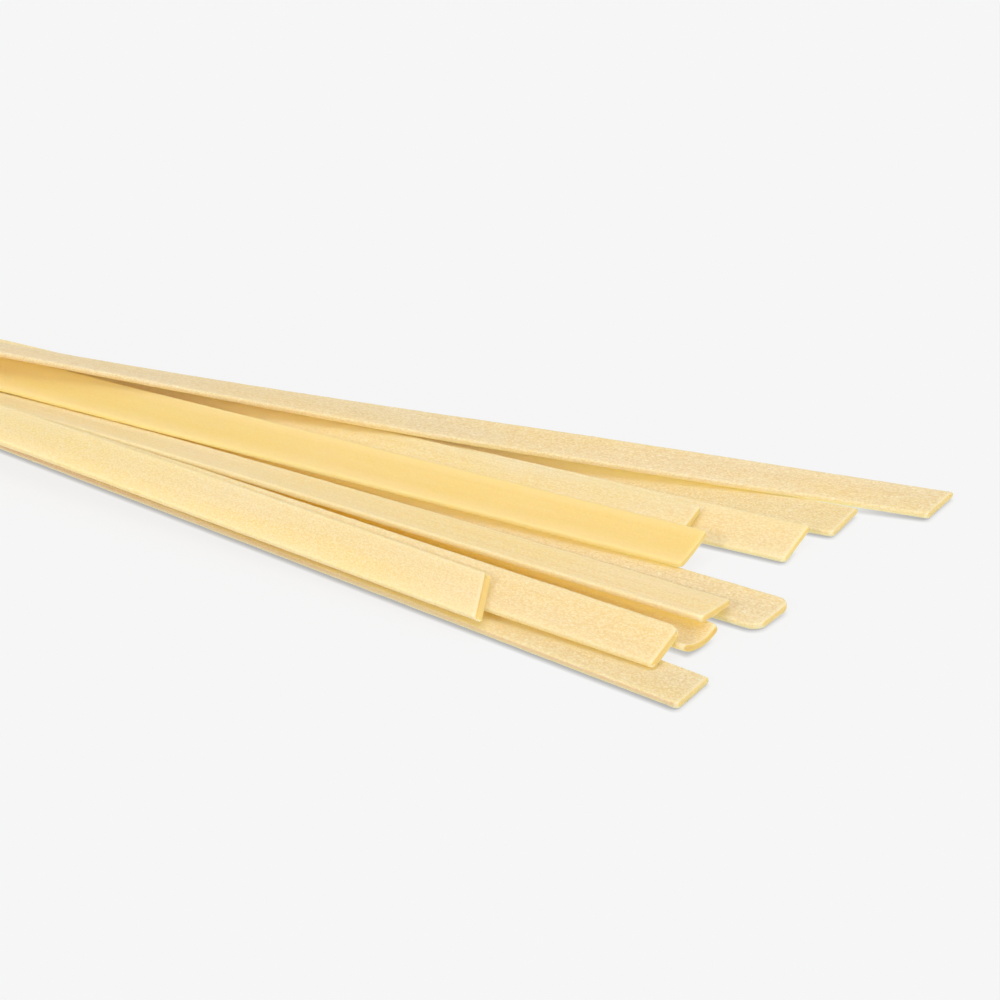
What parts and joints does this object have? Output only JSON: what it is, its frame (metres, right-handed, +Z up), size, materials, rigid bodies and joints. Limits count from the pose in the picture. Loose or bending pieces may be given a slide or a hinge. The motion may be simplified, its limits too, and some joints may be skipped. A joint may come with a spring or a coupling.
{
  "type": "loose bundle of dry fettuccine strands",
  "caption": "Loose handful of long, flat, dry pasta strands lying on a table, bunched at one end and fanned out at the other; raw food for a kitchen or shop scene.",
  "frame": {"origin": "middle of the bundle's base, on the surface it lies on", "axes": "+Z up, +X along the strands towards the fanned front ends, +Y towards the far side of the fan"},
  "size_m": [0.2958, 0.0626, 0.0112],
  "materials": {
    "pale_pasta": "dry durum pasta, pale and floury, fine grain with tiny white specks, slightly translucent",
    "cream_pasta": "dry durum pasta, creamy yellow, fine grain, slightly translucent",
    "golden_pasta": "dry durum pasta, deeper golden yellow, smooth and slightly translucent"
  },
  "bodies": {
    "root": {"outer_near_strand": "pale_pasta", "flat_far_strand": "pale_pasta", "round_end_strand": "pale_pasta", "curled_strand": "pale_pasta", "outer_far_strand": "pale_pasta", "tilted_far_strand": "cream_pasta", "middle_strand": "cream_pasta", "inner_near_strand": "cream_pasta", "tucked_strand": "cream_pasta", "short_front_strand": "cream_pasta", "golden_strand": "golden_pasta"}
  },
  "joints": []
}
